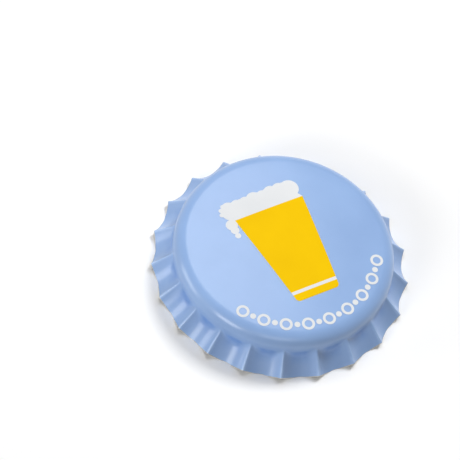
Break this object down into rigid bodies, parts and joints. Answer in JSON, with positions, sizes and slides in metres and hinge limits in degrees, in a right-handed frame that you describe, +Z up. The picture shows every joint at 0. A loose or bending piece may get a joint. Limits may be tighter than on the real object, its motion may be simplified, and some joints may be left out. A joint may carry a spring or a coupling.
{
  "type": "crown bottle cap",
  "caption": "Pry-off crown cap for a glass bottle: a fluted cup of light blue lacquered tinplate with a moulded sealing disc and a printed beer glass.",
  "frame": {"origin": "on the axis of the cap, at the level of the hem that it stands on", "axes": "+Z up along the axis, out through the printed panel; X and Y lie in the plane of the hem, and -Y is the side that faces the camera"},
  "size_m": [0.0319, 0.032, 0.006],
  "materials": {
    "blue_lacquer": "satin",
    "sealing_compound": "satin",
    "yellow_ink": "satin",
    "white_ink": "satin"
  },
  "bodies": {
    "root": {"shell": "blue_lacquer", "liner": "sealing_compound", "yellow_ink": "yellow_ink", "white_ink": "white_ink"}
  },
  "joints": []
}
